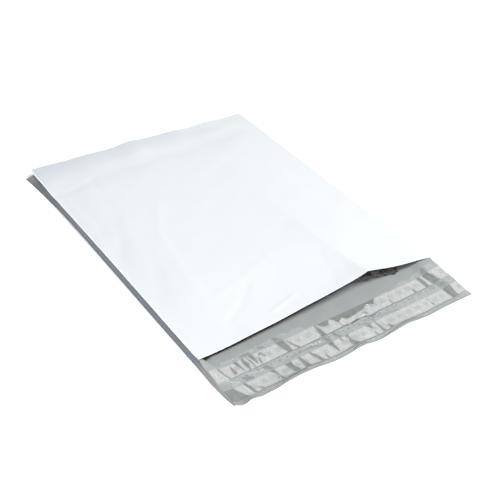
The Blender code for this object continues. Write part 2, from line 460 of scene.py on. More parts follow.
LIP_ROWS = np.concatenate([np.array([0.0, 0.5, 1.0, 1.5, 2.0, 2.7]), np.linspace(4.0, LIP_LENGTH, 46)])
BACK_ROWS = np.concatenate([np.arange(80.0, 124.0, 3.0), np.arange(130.0, 490.0, 9.0), [FLANGE_END, 503.0]])
FOLD_ROWS = 6
FRONT_ROWS = np.concatenate([[507.6, 504.0], np.arange(499.0, 140.0, -4.6), np.arange(138.0, 79.5, -2.2),
                             [78.6, 78.0, LIP_LENGTH]])
SHEET_COLUMNS = np.unique(np.concatenate([np.linspace(0.0, 24.0, 19), np.linspace(24.0, 322.0, 128),
                                          np.linspace(322.0, BAG_WIDTH, 20), [0.6, 2.0, PEAK_X, BAG_WIDTH - 0.8]]))
FLANGE_COLUMNS = 6
# Light that comes through the white film onto the lower one.
THROUGH_LIGHT = ((0, 0.0), (56, 0.0), (77, 0.05), (92, 0.14), (112, 0.22), (509.2, 0.22))
RIM_HIGHLIGHT_WIDTH = 1.4
# Painted shade of the flange: how light it is along the bag, how warm, and how much darker towards the rim and the
# floor.
FLANGE_SHADING_ALONG = ((0, 1.6), (30, 1.8), (60, 1.8), (80, 1.15), (110, 0.98), (140, 0.95), (290, 0.86), (400, 0.74),
               (440, 0.60), (465, 0.70), (480, 0.88), (500, 1.6), (509.2, 1.6))
FLANGE_SHADE_WARMTH = ((0, 1.0), (60, 1.0), (80, 0.25), (110, 0.0), (470, 0.0), (495, 1.0), (509.2, 1.0))
FLANGE_SHADING_ACROSS = ((0.0, 0.72), (0.25, 0.90), (0.65, 1.08), (0.85, 0.80), (1.0, 0.62))


def film_rows():
    """(y, part) of each row of the folded sheet: part is 0 on the back panel, 1 on the front one."""
    rows = [(y, 0.0) for y in np.concatenate([LIP_ROWS, BACK_ROWS])]
    rows += [(None, part) for part in np.linspace(0.0, 1.0, FOLD_ROWS)]
    return rows + [(y, 1.0) for y in FRONT_ROWS]


def film_row(y, part):
    """Points of the folded sheet across the bag, on the back panel, the far fold or the front panel."""
    fold = y is None
    place = BAG_LENGTH - FAR_BULGE if fold else y
    rim = outline(RIM_X, place)
    x = rim + (BAG_WIDTH + outline(RIGHT_EDGE, place) - rim) * SHEET_COLUMNS / BAG_WIDTH
    back = back_height(x, np.full_like(x, place))
    if part == 0.0 and not fold:
        corner = outline(LIP_CORNER, x) * (1.0 - ease(y / LIP_CORNER_REACH))
        return np.stack([x, y + corner, back], 1)
    front = np.maximum(front_height(x, np.full_like(x, place)), back + FRONT_GAP)
    height = back + (front - back) * (part if fold else 1.0)
    bulge = FAR_BULGE * np.sin(math.pi * part) * np.clip((front - back) / 4.0, 0.1, 1.0) if fold else 0.0
    return np.stack([x, np.full_like(x, place) + bulge, height], 1)


def flange_row(y, rim_point):
    """Points of the weld's flange, from the rim down to the floor, where its far end sweeps out."""
    part = np.linspace(0.0, 1.0, FLANGE_COLUMNS + 1)[1:]
    sweep = FLANGE_SWEEP * ease((y - 400.0) / (FLANGE_END - 400.0))
    foot = smooth_outline(FLANGE_FOOT_X, y + sweep)
    x = rim_point[0] + (foot - rim_point[0]) * part - 0.35 * np.sin(math.pi * part)
    z = rim_point[2] * (1.0 - part) ** 1.1
    return np.stack([x, rim_point[1] + sweep * part, z], 1)


def build_film(settings):
    """The folded sheet with its weld flange, as one shell."""
    rows = film_rows()
    columns = len(SHEET_COLUMNS)
    sheet = np.array([film_row(y, part) for y, part in rows])
    back_count = len(LIP_ROWS) + len(BACK_ROWS)
    flange_count = sum(1 for y, _ in rows[:back_count] if y <= FLANGE_END)
    flange = np.array([flange_row(y, sheet[i, 0]) for i, (y, _) in enumerate(rows[:flange_count])])
    faces = grid_faces(len(rows), columns)[:, ::-1]
    base = len(rows) * columns
    beside = []
    for i in range(flange_count - 1):
        near = [i * columns] + [base + i * FLANGE_COLUMNS + k for k in range(FLANGE_COLUMNS)]
        far = [(i + 1) * columns] + [base + (i + 1) * FLANGE_COLUMNS + k for k in range(FLANGE_COLUMNS)]
        beside += [(near[k], near[k + 1], far[k + 1], far[k])[::-1] for k in range(FLANGE_COLUMNS)]
    points = np.concatenate([sheet.reshape(-1, 3), flange.reshape(-1, 3)])

    row_of = np.repeat(np.arange(len(rows) - 1), columns - 1)
    column_of = np.tile(np.arange(columns - 1), len(rows) - 1)
    front = row_of >= back_count + FOLD_ROWS - 1
    # The rim and the mouth's edge take the edge material: a painted highlight of the film's edge catching the light.
    at_rim = front & (SHEET_COLUMNS[column_of] < RIM_HIGHLIGHT_WIDTH)
    at_mouth = row_of >= len(rows) - 3
    indices = np.where(at_rim | at_mouth, 1, 0)
    indices = np.concatenate([indices, np.full(len(beside), 2)])

    outside = outer_film_material(settings.outside_colour, settings.roughness)
    inside = inner_film_material(settings.inside_colour, settings.shade_fringe_colour, settings.pocket_shadow_colour)
    flange_look = flange_material()
    edge = edge_highlight_material(settings.rim_highlight_colour)
    made = new_object("film_bag", points, faces.tolist() + [list(map(int, f)) for f in beside],
                      (outside, edge, flange_look, inside, inside, inside), indices)
    made = thicken(made, settings.thickness, -1.0, 3)
    x, y, z = sheet_places(made)
    paint(made, "shade", panel_shade(x, y))
    paint(made, "tone", lip_tone_and_highlight(x, y))
    # Painted shade inside the mouth: a brown fringe, then near black, beyond where the mouth's edge hides the lower
    # film.
    beyond = pocket_depth(x, y)
    paint(made, "shade_fringe", ease((beyond + 1.5) / 3.0))
    paint(made, "depth", ease(beyond / 3.2))
    paint(made, "through", outline(THROUGH_LIGHT, y))
    # Painted shade of the flange.
    paint_colour(made, "flange", flange_shade_colour(y, z, settings))
    return made


def flange_shade_colour(y, z, settings):
    """The flange's painted shade: the grey-blue of the film in shadow, warm by the lip and at its far tip, cool
    between, darker along both its sides.
    """
    tone = outline(FLANGE_SHADING_ALONG, y)[:, None]
    cool, warm = np.array(settings.flange_shade_colour), np.array(settings.flange_warm_shade_colour)
    share = outline(FLANGE_SHADE_WARMTH, y)[:, None]
    up = np.clip(z / outline(RIM_HEIGHT, y), 0.0, 1.0)
    across = outline(FLANGE_SHADING_ACROSS, up)[:, None]
    return (cool + (warm - cool) * share) * tone * across


def panel_shade(x, y):
    """How much painted shade darkens the front panel, 0 to 1."""
    shade = np.zeros_like(x)
    for amount, blur, path in PANEL_SHADE:
        shade = np.maximum(shade, amount * stroke_mask(x, y, (path,), blur))
    return shade


def lip_tone_and_highlight(x, y):
    """How light the lip's grey film is, 0 to 1, with 0.5 for its plain tone: random tone plus a painted highlight on
    the left facet by the mouth.
    """
    tone = 0.5 + 0.06 * soft_noise(x, y, 34.0, 21) + 0.04 * soft_noise(x, y, 9.0, 22, 3.0)
    # Painted highlight: the lip's left facet by the mouth is made lighter, as where it faces the light.
    facet = ease((outline(FACET_REACH, y) + 1.0 - x) / 2.5)
    tone = tone + 0.30 * facet * ease((y - 58.0) / 6.0)
    return np.clip(tone, 0.0, 1.0)


# The run of a line of sight past the mouth's edge per millimetre that it drops, and the painted shadow below the
# edge.
SIGHT_ACROSS, SIGHT_ALONG = 0.79, 1.0
PAINTED_SHADOW_BAND = ((0, 5.0), (60, 5.0), (240, 5.6), (262, 5.0), (300, 3.2), (355.6, 1.0))


def pocket_depth(x, y):
    """How far each place lies beyond the start of the pocket's painted shade, in millimetres."""
    edge = np.linspace(0.0, BAG_WIDTH, 90)
    mouth = np.where(edge < PEAK_X, outline(MOUTH_LEFT, edge), outline(MOUTH_RIGHT, edge))
    gap = np.maximum(mouth - back_height(edge, np.full_like(edge, LIP_LENGTH)), 0.0)
    seen = np.interp(x, edge + SIGHT_ACROSS * gap, SIGHT_ALONG * gap)
    return y - LIP_LENGTH - np.maximum(seen - outline(PAINTED_SHADOW_BAND, x), 0.25 * seen)


# ---------------------------------------------------------------- adhesive strips

# Bare gaps in each strip, as strokes of (x, y, width).
INNER_GAPS = (
    ((13.2, 57, 3.5), (15.5, 49, 2.6), (18.5, 41, 2.0)),
    ((28.5, 56, 1.2), (28.2, 51, 3.2), (28.0, 45, 5.0)),
    ((36.5, 59, 5.2), (38.0, 50, 3.2), (39.0, 42, 1.2)),
    ((46.0, 58, 4.0), (46.0, 50, 5.8), (46.0, 42, 3.2)),
    ((51.6, 58, 1.6), (53.3, 49, 2.0), (52.8, 40, 1.6)),
    ((57.5, 59, 6.6), (58.2, 48, 3.2), (58.3, 45, 1.5)),
    ((66.0, 54, 1.6), (69.5, 56, 3.0), (72.0, 50, 2.2)),
    ((64.2, 50, 2.2), (62.4, 43, 2.8)),
    ((99.5, 59, 11.0), (100.0, 50, 9.5), (101.5, 41, 6.5)),
    ((107.2, 56, 2.6), (110.0, 48, 2.4), (113.5, 41, 4.0)),
    ((151.0, 59, 2.4), (151.0, 52, 4.4), (151.0, 45, 7.4), (151.0, 40, 7.4)),
    ((180.0, 49, 1.2), (180.2, 41, 1.4)),
    ((201.0, 42.5, 1.2), (210.0, 44.5, 1.0), (218.0, 46.5, 2.4), (220.0, 42.5, 3.0)),
    ((205.0, 39.5, 2.0), (217.0, 39.0, 1.4)),
    ((259.6, 46.5, 2.4), (259.4, 40, 3.2)),
    ((298.4, 46.5, 2.6), (298.0, 40, 4.6)),
    ((318.8, 59, 6.6), (318.8, 40, 6.6)),
    ((330.5, 58, 9.0), (334.0, 41, 12.0)),
)
OUTER_GAPS = (
    ((5.0, 29, 13.0), (6.0, 16, 22.0), (8.0, 7, 24.0)),
    ((27.0, 28, 3.4), (29.5, 18, 4.2), (31.5, 7, 3.2)),
    ((37.5, 14.8, 1.8), (41.0, 11.5, 4.0)),
    ((65.5, 27, 7.2), (67.0, 21, 3.0), (67.0, 16, 1.6), (68.0, 9.5, 4.0)),
    ((64.0, 13.4, 2.6), (65.5, 14, 1.5)),
    ((87.0, 27, 10.0), (86.5, 20, 7.0), (88.0, 12, 8.5)),
    ((103.0, 27, 4.0), (103.2, 18, 5.0), (102.5, 8, 8.0)),
    ((118.5, 27, 3.4), (121.0, 18, 4.6), (124.2, 7, 6.0)),
    ((132.5, 14, 2.6), (133.0, 7.5, 3.4)),
    ((148.5, 27, 7.4), (149.5, 19, 4.4), (150.0, 11, 1.8)),
    ((163.5, 26.5, 2.2), (163.8, 22, 2.8)),
    ((173.0, 27, 6.4), (173.2, 20.5, 2.2), (171.5, 15, 6.0), (173.5, 8, 9.0)),
    ((206.5, 27, 7.5), (208.0, 20, 2.6)),
    ((206.0, 13, 2.2), (206.5, 7, 3.2)),
    ((217.5, 27, 2.2), (217.0, 18, 2.6), (217.5, 8, 5.2)),
    ((223.5, 13, 1.6), (229.0, 13.2, 2.0), (228.5, 8, 7.0)),
    ((300.5, 25, 1.0), (301.0, 18, 1.0), (302.0, 12, 3.2)),
    ((336.5, 27, 12.0), (335.5, 17, 10.5), (335.8, 7, 8.5)),
)
# The top of what the liner wets on the inner strip.
INNER_TOP = ((0, 60), (152, 60), (153.5, 57.5), (158, 51.5), (167, 50.5), (169.5, 55), (172, 58.5), (176, 55),
             (180, 48), (183, 50), (188, 52.3), (193, 47), (200, 47.5), (220, 50.5), (228, 54.5), (233, 53.5),
             (237.5, 50.5), (243, 57), (247, 60), (BAG_WIDTH, 60))


def adhesive_material(colour, gap_colour):
    made = Surface("adhesive", 0.3)
    warm = (colour[0] * 1.02, colour[1] * 0.985, colour[2] * 0.95)
    mottle = made.mix(made.noise(70.0, 2.0, (1.0, 0.3, 1.0)), shaded(colour, 0.95), warm)
    streaks = made.mix(made.noise(330.0, 2.0, (1.0, 0.16, 1.0)), (0.70, 0.72, 0.73), (1.12, 1.10, 1.08))
    cream = made.mix(1.0, mottle, streaks, "MULTIPLY")
    dark = made.mix(made.noise(180.0, 3.0, (1.0, 0.4, 1.0)), shaded(gap_colour, 0.7), shaded(gap_colour, 1.35))
    made.link(made.mix(made.attribute("gap"), cream, dark), "Base Color")
    made.link(made.between(made.attribute("gap"), 0.42, 0.22), "Roughness")
    made.bump(made.noise(1100.0, 3.0), 0.00004, 0.7)
    return made.material


def pad_material(colour, gap_colour):
    made = Surface("adhesive_pad", 0.3)
    film = made.mix(made.noise(420.0, 3.0), shaded(colour, 0.93), shaded(colour, 1.06))
    made.link(made.mix(made.attribute("gap"), film, shaded(gap_colour, 0.9)), "Base Color")
    return made.material


def strip_height(x, y):
    """Underside of an adhesive strip on the lip."""
    return back_height(x, y) + 0.14


def build_strip(name, start, gaps, top, settings, looks):
    """One adhesive strip with its bare gaps and its repeated pads."""
    columns = np.linspace(0.6, BAG_WIDTH - 0.6, 470)
    across = np.linspace(start, start + STRIP_WIDTH, 27)
    x, y = np.meshgrid(columns, across)
    gap = stroke_mask(x, y, gaps, 0.9)
    z = strip_height(x, y) + 0.10 * (1.0 - gap)
    points = np.stack([x, y, z], 2).reshape(-1, 3)
    made = new_object(name, points, grid_faces(*x.shape).tolist(), looks)
    made = thicken(made, settings.strip_thickness, 1.0)
    x, y, z = sheet_places(made)
    gap = np.maximum(stroke_mask(x, y, gaps, 0.9), 0.9 * np.clip(y - outline(top, x) + 0.3, 0.0, 1.0))
    paint(made, "gap", gap)
    return add_pads(made, start + STRIP_WIDTH * 0.53, settings)


def pad_tree():
    """Rounded pads repeated along a strip, laid on its surface, dropped where they miss it, and given its gap value
    where it is bare.
    """
    tree = bpy.data.node_groups.new("adhesive_pads", "GeometryNodeTree")
    inputs = (("Strip", "NodeSocketGeometry"), ("First", "NodeSocketVector"), ("Pitch", "NodeSocketFloat"),
              ("Count", "NodeSocketInt"), ("Width", "NodeSocketFloat"), ("Height", "NodeSocketFloat"),
              ("Corner", "NodeSocketFloat"), ("Thickness", "NodeSocketFloat"), ("Spread", "NodeSocketFloat"),
              ("Seed", "NodeSocketInt"), ("Look", "NodeSocketMaterial"))
    for label, kind in inputs:
        tree.interface.new_socket(label, in_out="INPUT", socket_type=kind)
    tree.interface.new_socket("Strip", in_out="OUTPUT", socket_type="NodeSocketGeometry")
    nodes, links = tree.nodes, tree.links
    given = nodes.new("NodeGroupInput").outputs

    def add(kind, sockets=None, **settings):
        node = nodes.new(kind)
        for key, value in settings.items():
            setattr(node, key, value)
        for socket, value in (sockets or {}).items():
            target = node.inputs[socket]
            if isinstance(value, bpy.types.NodeSocket):
                links.new(value, target)
            else:
                target.default_value = value
        return node

    step = add("ShaderNodeCombineXYZ", {"X": given["Pitch"]})
    line = add("GeometryNodeMeshLine", {"Count": given["Count"], "Start Location": given["First"],
                                        "Offset": step.outputs["Vector"]})
    outline_of = add("GeometryNodeCurvePrimitiveQuadrilateral",
                     {"Width": given["Width"], "Height": given["Height"]})
    rounded = add("GeometryNodeFilletCurve", {"Curve": outline_of.outputs["Curve"],
                                              "Radius": given["Corner"], "Count": 3}, mode="POLY")
    filled = add("GeometryNodeFillCurve", {"Curve": rounded.outputs["Curve"]})
    fine = add("GeometryNodeSubdivideMesh", {"Mesh": filled.outputs["Mesh"], "Level": 3})
    wide = add("FunctionNodeRandomValue", {"Seed": given["Seed"]}, data_type="FLOAT_VECTOR")
    wide.inputs[0].default_value = (0.55, 0.82, 1.0)
    wide.inputs[1].default_value = (1.12, 1.08, 1.0)
    shift = add("FunctionNodeRandomValue", {"Seed": given["Seed"]}, data_type="FLOAT_VECTOR")
    shift.inputs[0].default_value = (-1.0, -0.35, 0.0)
    shift.inputs[1].default_value = (1.0, 0.35, 0.0)
    nudge = add("ShaderNodeVectorMath", operation="SCALE")
    links.new(shift.outputs[0], nudge.inputs[0])
    links.new(given["Spread"], nudge.inputs["Scale"])
    moved = add("GeometryNodeSetPosition", {"Geometry": line.outputs["Mesh"], "Offset": nudge.outputs["Vector"]})
    pads = add("GeometryNodeInstanceOnPoints", {"Points": moved.outputs["Geometry"],
                                                "Instance": fine.outputs["Mesh"], "Scale": wide.outputs[0]})
    real = add("GeometryNodeRealizeInstances", {"Geometry": pads.outputs["Instances"]})
    gap = add("GeometryNodeInputNamedAttribute", {"Name": "gap"}, data_type="FLOAT")
    ray = add("GeometryNodeRaycast", {"Target Geometry": given["Strip"], "Ray Direction": (0.0, 0.0, -1.0)})
    links.new(next(o for o in gap.outputs if o.enabled and o.name == "Attribute"), ray.inputs["Attribute"])
    high = add("ShaderNodeVectorMath", {1: (0.0, 0.0, 0.0)}, operation="ADD")
    links.new(ray.outputs["Hit Position"], high.inputs[0])
    laid = add("GeometryNodeSetPosition", {"Geometry": real.outputs["Geometry"],
                                           "Position": high.outputs["Vector"]})
    missed = add("FunctionNodeBooleanMath", {0: ray.outputs["Is Hit"]}, operation="NOT")
    kept = add("GeometryNodeDeleteGeometry", {"Geometry": laid.outputs["Geometry"]}, domain="POINT")
    store = add("GeometryNodeStoreNamedAttribute", {"Geometry": real.outputs["Geometry"], "Name": "gap"},
                data_type="FLOAT", domain="POINT")
    links.new(ray.outputs["Attribute"], next(i for i in store.inputs if i.enabled and i.name == "Value"))
    hit = add("GeometryNodeStoreNamedAttribute", {"Geometry": store.outputs["Geometry"], "Name": "missed"},
              data_type="BOOLEAN", domain="POINT")
    links.new(missed.outputs[0], next(i for i in hit.inputs if i.enabled and i.name == "Value"))
    links.new(hit.outputs["Geometry"], laid.inputs["Geometry"])
    lost = add("GeometryNodeInputNamedAttribute", {"Name": "missed"}, data_type="BOOLEAN")
    links.new(next(o for o in lost.outputs if o.enabled and o.name == "Attribute"), kept.inputs["Selection"])
    rise = add("ShaderNodeCombineXYZ", {"Z": given["Thickness"]})
    thick = add("GeometryNodeExtrudeMesh", {"Mesh": kept.outputs["Geometry"], "Offset": rise.outputs["Vector"],
                                            "Offset Scale": 1.0, "Individual": False})
    look = add("GeometryNodeSetMaterial", {"Geometry": thick.outputs["Mesh"], "Material": given["Look"]})
    joined = add("GeometryNodeJoinGeometry")
    links.new(look.outputs["Geometry"], joined.inputs["Geometry"])
    links.new(given["Strip"], joined.inputs["Geometry"])
    output = nodes.new("NodeGroupOutput")
    links.new(joined.outputs["Geometry"], output.inputs["Strip"])
    return tree


def add_pads(strip, row, settings):
    """Runs the pad tree on a strip and keeps the result as a plain mesh."""
    tree = bpy.data.node_groups.get("adhesive_pads") or pad_tree()
    modifier = strip.modifiers.new("pads", "NODES")
    modifier.node_group = tree
    first = to_frame(np.array([settings.first_pad, row, 30.0]))
    values = {"First": tuple(first), "Pitch": settings.pad_pitch, "Count": settings.pad_count,
              "Width": settings.pad_width, "Height": settings.pad_height, "Corner": settings.pad_corner,
              "Thickness": settings.pad_thickness, "Spread": settings.pad_spread, "Seed": int(row),
              "Look": strip.data.materials[1]}
    for item in tree.interface.items_tree:
        if item.in_out == "INPUT" and item.name in values:
            modifier[item.identifier] = values[item.name]
    return plain_copy(strip, strip.name)


# ---------------------------------------------------------------- release liner

LINER_TOP = ((0, 60.5), (14, 60.5), (19, 62), (21, 66), (30, 65.5), (40, 65), (50, 67), (80, 67), (95, 69), (110, 69),
             (115, 66), (121, 67.4), (127, 68), (133, 66.5), (140, 61), (152, 61), (158, 52.5), (168, 51.5),
             (172, 59.5), (180, 48.5), (188, 53), (193, 48), (200, 48.5), (220, 51.5), (228, 55.5), (237.5, 51.5),
             (247, 60.5), (275, 60.5), (286, 63.5), (296, 66.5), (306, 63), (322, 68), (334, 69), (BAG_WIDTH, 69))
LINER_LOW = ((0, 7.5), (6, 3.5), (20, 2.2), (60, 1.8), (120, 1.5), (200, 2.0), (260, 1.6), (BAG_WIDTH, 1.6))

# Sharp folds of the liner: height, half width and path.
LINER_FOLDS = (
    (1.3, 1.3, ((200, 42.5), (209, 45.5), (218, 47.5), (221.5, 44), (215, 39.5), (205, 38.5))),
    (0.9, 1.0, ((196, 48), (199, 54), (205, 57), (209, 52))),
    (0.8, 0.9, ((203, 58), (207, 52), (213, 49))),
    (0.8, 1.2, ((180, 40.2), (192, 39.6), (203, 40.6))),
    (0.6, 1.0, ((66, 54), (69.5, 56.5), (72.5, 50), (70, 44))),
    (0.5, 0.9, ((5, 45), (12, 40), (24, 32), (31, 27))),
    (0.6, 1.1, ((14, 62), (16, 50), (19, 41), (27, 31))),
    (0.7, 1.2, ((26, 30), (29, 19), (32, 5))),
    (0.5, 1.0, ((62, 8), (78, 5.6), (96, 6.6), (112, 6.0))),
    (0.5, 1.0, ((120, 34.5), (134, 30.5), (145, 28))),
    (0.6, 1.0, ((196, 35), (204, 30), (210, 27))),
    (0.5, 0.9, ((219, 36), (228, 33), (242, 31.5))),
    (0.4, 0.8, ((146, 38), (147, 24))),
    (0.4, 0.8, ((155, 37), (152, 24))),
    (0.8, 1.2, ((326, 62), (331, 44), (334, 8))),
    (0.8, 1.2, ((337, 64), (342, 44), (341, 8))),
    (0.5, 0.9, ((315.5, 60), (315.4, 40))),
    (0.5, 0.9, ((322, 60), (322.2, 40))),
    (0.6, 1.0, ((94.5, 60), (96, 46), (99, 40))),
    (0.6, 1.0, ((105, 60), (105, 40))),
)
# Dark and light lines and patches of the liner: tone, strength and strokes. Tone 0 is painted shadow along
# folds, strip edges and the lifted free edge, 0.42 soft darker patches, 1 painted highlights on fold ridges.
LINER_SHADE_AND_HIGHLIGHT_MARKS = (
    (0.0, 0.62, 0.7, (
        ((22, 40.2, 0.7), (60, 39.8, 0.6), (96, 40.0, 0.9), (120, 38.6, 0.8), (140, 38.6, 1.0), (160, 39.6, 0.8),
         (180, 39.8, 1.2), (192, 39.0, 1.6), (203, 40.2, 1.8), (214, 38.8, 1.2), (222, 36.5, 1.4), (234, 38.6, 0.8),
         (300, 39.0, 0.7), (326, 39.6, 0.8)),
        ((33, 7.8, 0.8), (45, 9.0, 0.9), (60, 6.6, 0.8), (78, 5.6, 0.9), (94, 6.6, 1.1), (112, 6.6, 0.8),
         (150, 6.8, 0.7), (196, 7.2, 0.9), (212, 6.2, 0.7), (240, 6.0, 0.8), (280, 6.8, 0.7), (352, 8.2, 0.6)),
        ((61, 3.2, 0.8), (78, 4.3, 1.0), (96, 4.6, 0.7)),
        ((163, 2.2, 0.7), (170, 3.9, 1.0), (184, 3.9, 1.0)),
        ((206, 1.6, 0.6), (226, 3.0, 0.9), (240, 3.9, 1.0), (256, 4.4, 0.9), (274, 2.8, 0.6)),
    )),
    (0.42, 0.26, 3.0, (
        ((120, 33.5, 1.6), (133, 30.5, 2.6), (146, 28.5, 1.6)),
        ((148, 39, 6.5), (149.5, 33, 6.0), (149, 26, 6.5)),
        ((162, 38, 3.5), (163, 33, 5.0), (166, 29, 4.0)),
        ((95, 31.5, 1.4), (112, 33.0, 1.6), (126, 31.5, 2.2)),
        ((196, 33, 1.0), (204, 29.8, 1.6), (212, 26.5, 1.6)),
        ((208, 34.5, 1.4), (216, 33.5, 1.2), (219, 30, 1.4)),
        ((220, 33.0, 1.2), (232, 31.8, 1.6), (244, 30.0, 1.2), (256, 28, 1.2)),
        ((62, 35.0, 6.0), (66, 30.0, 5.0)),
        ((34, 32.0, 6.0), (40, 29.5, 4.0)),
        ((318, 35.5, 2.0), (323, 35.0, 3.0)),
        ((331, 38, 3.0), (336, 33, 8.0), (337, 29, 6.0)),
        ((333, 68, 5.0), (331, 61, 7.0)),
        ((97, 66, 7.0), (99, 60, 9.0)),
        ((47, 63, 3.0), (57, 62, 5.0)),
        ((72, 64, 3.0), (78, 62.5, 3.0)),
    )),
    (1.0, 0.42, 0.9, (
        ((8, 41.5, 1.2), (14, 37.5, 1.6), (24, 31.0, 1.6)),
        ((21, 66, 0.8), (31, 65.5, 0.7)),
        ((14, 31, 0.8), (24, 30, 1.0)),
        ((177, 61, 0.8), (186, 61.2, 0.9)),
        ((206, 42.0, 1.6), (214, 43.5, 2.4), (217, 41, 1.6)),
        ((194, 50, 0.9), (200, 53.5, 0.8), (205, 52, 0.8)),
        ((207, 57.5, 1.2), (206, 53, 0.9), (208, 50, 0.9)),
        ((228, 55, 1.0), (233, 53.5, 1.0)),
        ((19.2, 58, 0.8), (20.5, 48, 1.0), (21, 42, 0.8)),
        ((41, 58, 1.2), (42, 46, 1.0)),
        ((50, 57, 0.9), (50.5, 44, 0.8)),
        ((55, 51, 0.9), (55.5, 41, 0.8)),
        ((314.6, 58, 0.9), (314.4, 41, 0.9)),
        ((323.6, 58, 1.0), (323.8, 41, 1.0)),
        ((338, 45, 1.4), (336.6, 42.5, 1.6)),
        ((94, 11.5, 1.0), (95.5, 8.5, 1.2)),
        ((190, 12, 4.0), (197, 11, 3.0)),
        ((24.5, 23, 2.4), (26, 12, 2.0)),
        ((195, 4.6, 1.4), (195, 2.2, 1.6)),
        ((40, 36.5, 1.2), (56, 33, 2.0), (60, 36.5, 1.2)),
        ((122, 37, 2.0), (140, 34, 3.0)),
    )),
)
DASH_ROW = (34.8, 36.6)


def liner_height(x, y):
    """Underside of the liner over the lip and its strips."""
    tunnels = np.maximum(stroke_mask(x, y, INNER_GAPS, 2.4), stroke_mask(x, y, OUTER_GAPS, 2.4))
    on_strip = np.maximum(*(ease((y - s + 1.0) / 2.0) * ease((s + STRIP_WIDTH + 1.0 - y) / 2.0)
                            for s in (OUTER_STRIP, INNER_STRIP)))
    height = back_height(x, y) + 0.42 + 0.22 * on_strip + 0.45 * tunnels
    height += 0.16 * ridged_noise(x, y, 7.0, 31, 2.2) * (1.0 - 0.75 * on_strip)
    height += 0.10 * ridged_noise(x, y, 15.0, 33, 1.4)
    for rise, half_width, path in LINER_FOLDS:
        away, _ = to_line(x, y, path)
        height += rise * np.clip(1.0 - away / half_width, 0.0, 1.0) ** 1.3
    crumple = ease((x - 190.0) / 6.0) * ease((246.0 - x) / 16.0) * ease((y - 44.0) / 4.0)
    return height + 0.8 * crumple * ridged_noise(x, y, 5.0, 37)


def liner_material(light, dark, veil):
    made = Surface("release_liner", 0.14)
    made.set("Specular IOR Level", 0.9)
    made.link(made.mix(made.attribute("tone"), dark, light), "Base Color")
    made.link(made.attribute("veil"), "Alpha")
    made.bump(made.noise(420.0, 3.0, (1.0, 0.5, 1.0)), 0.00012, 0.5)
    return made.material


def build_liner(settings):
    """The clear wrinkled liner over both strips."""
    columns = np.linspace(0.4, BAG_WIDTH - 0.5, 446)
    part = np.linspace(0.0, 1.0, 80)
    low, top = outline(LINER_LOW, columns), outline(LINER_TOP, columns)
    y = low[None, :] + (top - low)[None, :] * part[:, None]
    x = np.broadcast_to(columns, y.shape)
    points = np.stack([x, y, liner_height(x, y)], 2).reshape(-1, 3)
    look = liner_material(settings.colour, settings.shadow_colour, settings.veil)
    made = new_object("clear_liner", points, grid_faces(*x.shape).tolist(), (look,))
    made = thicken(made, settings.thickness, 1.0)
    x, y, z = sheet_places(made)
    tone = np.full_like(x, 0.85)
    veil = settings.veil * (1.0 + 0.35 * soft_noise(x, y, 12.0, 41, 1.6) + 0.25 * soft_noise(x, y, 4.0, 42))
    dashes = stroke_mask(x, y, dash_strokes(), 0.9)
    # Painted shadow lines, soft darker patches and painted highlights along the liner's folds.
    for mark_tone, strength, blur, strokes in LINER_SHADE_AND_HIGHLIGHT_MARKS:
        mask = stroke_mask(x, y, strokes, blur)
        tone += (mark_tone - tone) * mask
        veil += (strength - veil) * mask
    tone += (0.1 - tone) * dashes
    veil += (0.42 - veil) * dashes
    over_gap = np.maximum(stroke_mask(x, y, INNER_GAPS, 0.9), stroke_mask(x, y, OUTER_GAPS, 0.9))
    veil *= 1.0 - 0.55 * over_gap
    paint(made, "tone", np.clip(tone, 0.0, 1.0))
    paint(made, "veil", np.clip(veil, 0.02, 1.0))
    return made


def dash_strokes():
    """A row of short dark marks between the strips, in loose groups."""
    draw = np.random.default_rng(53)
    strokes = []
    for x in np.arange(30.0, 318.0, 5.6):
        if draw.uniform() < 0.62:
            place = x + draw.uniform(-1.5, 1.5)
            y = draw.uniform(*DASH_ROW)
            length = draw.uniform(0.2, 1.8)
            strokes.append(((place, y, 1.3), (place + 0.6, y - length, 1.0)))
    return tuple(strokes)


# ---------------------------------------------------------------- cushion film

WAD_CENTRE = (262.0, 118.0)
# The wad's outline about its centre: angle in degrees and reach in millimetres.
WAD_REACH = ((-180, 46), (-155, 42), (-140, 38), (-121, 33), (-90, 32), (-65, 38), (-52, 46), (-45, 55), (-35, 54),
             (-20, 50), (0, 48), (45, 38), (90, 34), (135, 38), (180, 46))
WAD_LOBES = ((297, 84, 8.0, 9.0), (252, 92, 11.0, 8.0), (271, 91, 9.0, 13.0), (285, 88, 7.0, 12.0),
             (238, 97, 9.0, 6.0))


def cushion_material(colour, roughness):
    made = Surface("cushion_film", roughness)
    made.set("Transmission Weight", 0.35)
    made.set("Specular IOR Level", 0.9)
    made.set("Coat Weight", 0.6)
    made.set("Coat Roughness", 0.05)
    # Painted shade: the clear film is given a near-black brown in random patches, for the dark of the mouth.
    mouth_shade_patches = made.mix(made.noise(130.0, 5.0), shaded(colour, 0.1), shaded(colour, 2.4))
    made.link(mouth_shade_patches, "Base Color")
    made.bump(made.noise(520.0, 3.0), 0.0002, 0.6)
    return made.material


